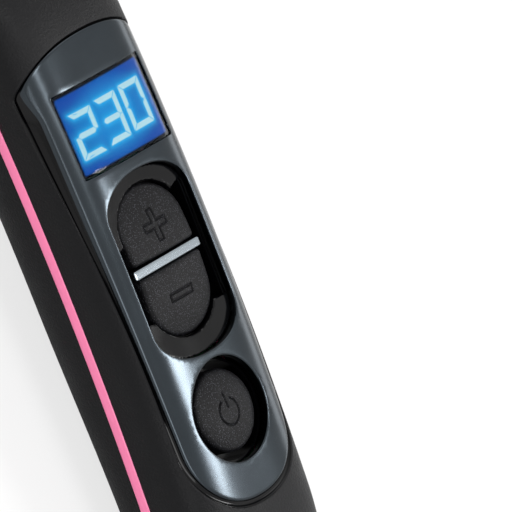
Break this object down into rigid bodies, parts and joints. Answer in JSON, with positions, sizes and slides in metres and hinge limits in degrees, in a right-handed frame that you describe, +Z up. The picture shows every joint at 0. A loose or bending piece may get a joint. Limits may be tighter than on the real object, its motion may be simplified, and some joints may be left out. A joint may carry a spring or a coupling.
{
  "type": "steam hair straightener brush",
  "caption": "Heated straightening brush with a bowed handle, control panel with display and sprung buttons, and an oval head of coated teeth ringed by bristles.",
  "frame": {"origin": "Middle of the bounding box's footprint, on the table that the brush lies on with its back", "axes": "+Y from the cord end to the tip of the head, +Z up, the way the teeth and the buttons point, +X to the right across the brush when its face is seen with the tip upwards"},
  "size_m": [0.0656, 0.2776, 0.0442],
  "materials": {
    "black_shell": "soft-touch coated moulding",
    "textured_black": "fine spark-eroded texture",
    "pink_trim": "gloss moulding",
    "gloss_black": "high-gloss moulding",
    "gunmetal_panel": "fine metallic gloss lacquer",
    "bright_bar": "bright plated",
    "window_blue": "clear window over a lit blue display",
    "lcd_glass": "lit display glass",
    "button_rubber": "fine sparkle grain",
    "plunger_plastic": "moulded",
    "switch_body": "moulded",
    "board_green": "solder-mask lacquer on laminate",
    "zinc_screw": "zinc plated",
    "capacitor_box": "moulded box",
    "chip_black": "moulded epoxy",
    "pink_coating": "gloss ceramic coating on die-cast metal",
    "tip_plastic": "satin heat-resistant plastic",
    "bristle_nylon": "extruded",
    "heater_ceramic": "sintered ceramic",
    "mica": "pressed sheet",
    "spring_steel": "rolled sheet",
    "sensor_bead": "dipped bead",
    "fuse_can": "drawn can",
    "lead_red": "silicone sleeve",
    "lead_white": "silicone sleeve",
    "gland_rubber": "moulded, satin"
  },
  "bodies": {
    "brush_body": {"rear_housing": "black_shell", "front_housing": "black_shell", "head_frame": "textured_black", "trim_band": "pink_trim", "panel_bezel": "gloss_black", "control_panel": "gunmetal_panel", "button_carrier": "gloss_black", "divider_bar": "bright_bar", "display_window": "window_blue", "lcd_module": "lcd_glass", "push_switches": "switch_body", "main_board": "board_green", "board_screws": "zinc_screw", "mains_capacitor": "capacitor_box", "power_triac": "chip_black", "control_chip": "chip_black", "heating_plate": "pink_coating", "tooth_tips": "tip_plastic", "outer_bristles": "bristle_nylon", "ceramic_heater": "heater_ceramic", "mica_sheet": "mica", "heater_clamp": "spring_steel", "clamp_screws": "zinc_screw", "thermistor": "sensor_bead", "thermal_fuse": "fuse_can", "heat_shield": "mica", "plate_screws": "zinc_screw", "heater_leads": "lead_red", "sensor_leads": "lead_white", "housing_screws": "zinc_screw", "end_ring": "gloss_black"},
    "plus_key": {"plus_button": "button_rubber", "plus_plunger": "plunger_plastic"},
    "minus_key": {"minus_button": "button_rubber", "minus_plunger": "plunger_plastic"},
    "power_key": {"power_button": "button_rubber", "power_plunger": "plunger_plastic"},
    "cord_swivel": {"swivel_gland": "gland_rubber"}
  },
  "joints": [
    {"name": "plus_press", "type": "slide", "parent": "brush_body", "child": "plus_key", "axis": [0, 0.0743, -0.9972], "range_m": [0, 0.0006], "stiffness_N_per_m": 800, "springref_m": -0.0003},
    {"name": "minus_press", "type": "slide", "parent": "brush_body", "child": "minus_key", "axis": [0, 0.0743, -0.9972], "range_m": [0, 0.0006], "stiffness_N_per_m": 800, "springref_m": -0.0003},
    {"name": "power_press", "type": "slide", "parent": "brush_body", "child": "power_key", "axis": [0, 0.0743, -0.9972], "range_m": [0, 0.0006], "stiffness_N_per_m": 800, "springref_m": -0.0003},
    {"name": "cord_turn", "type": "hinge", "parent": "brush_body", "child": "cord_swivel", "pos_m": [0, -0.127, 0.01195], "axis": [0, -0.9851, -0.1721], "continuous": true}
  ]
}
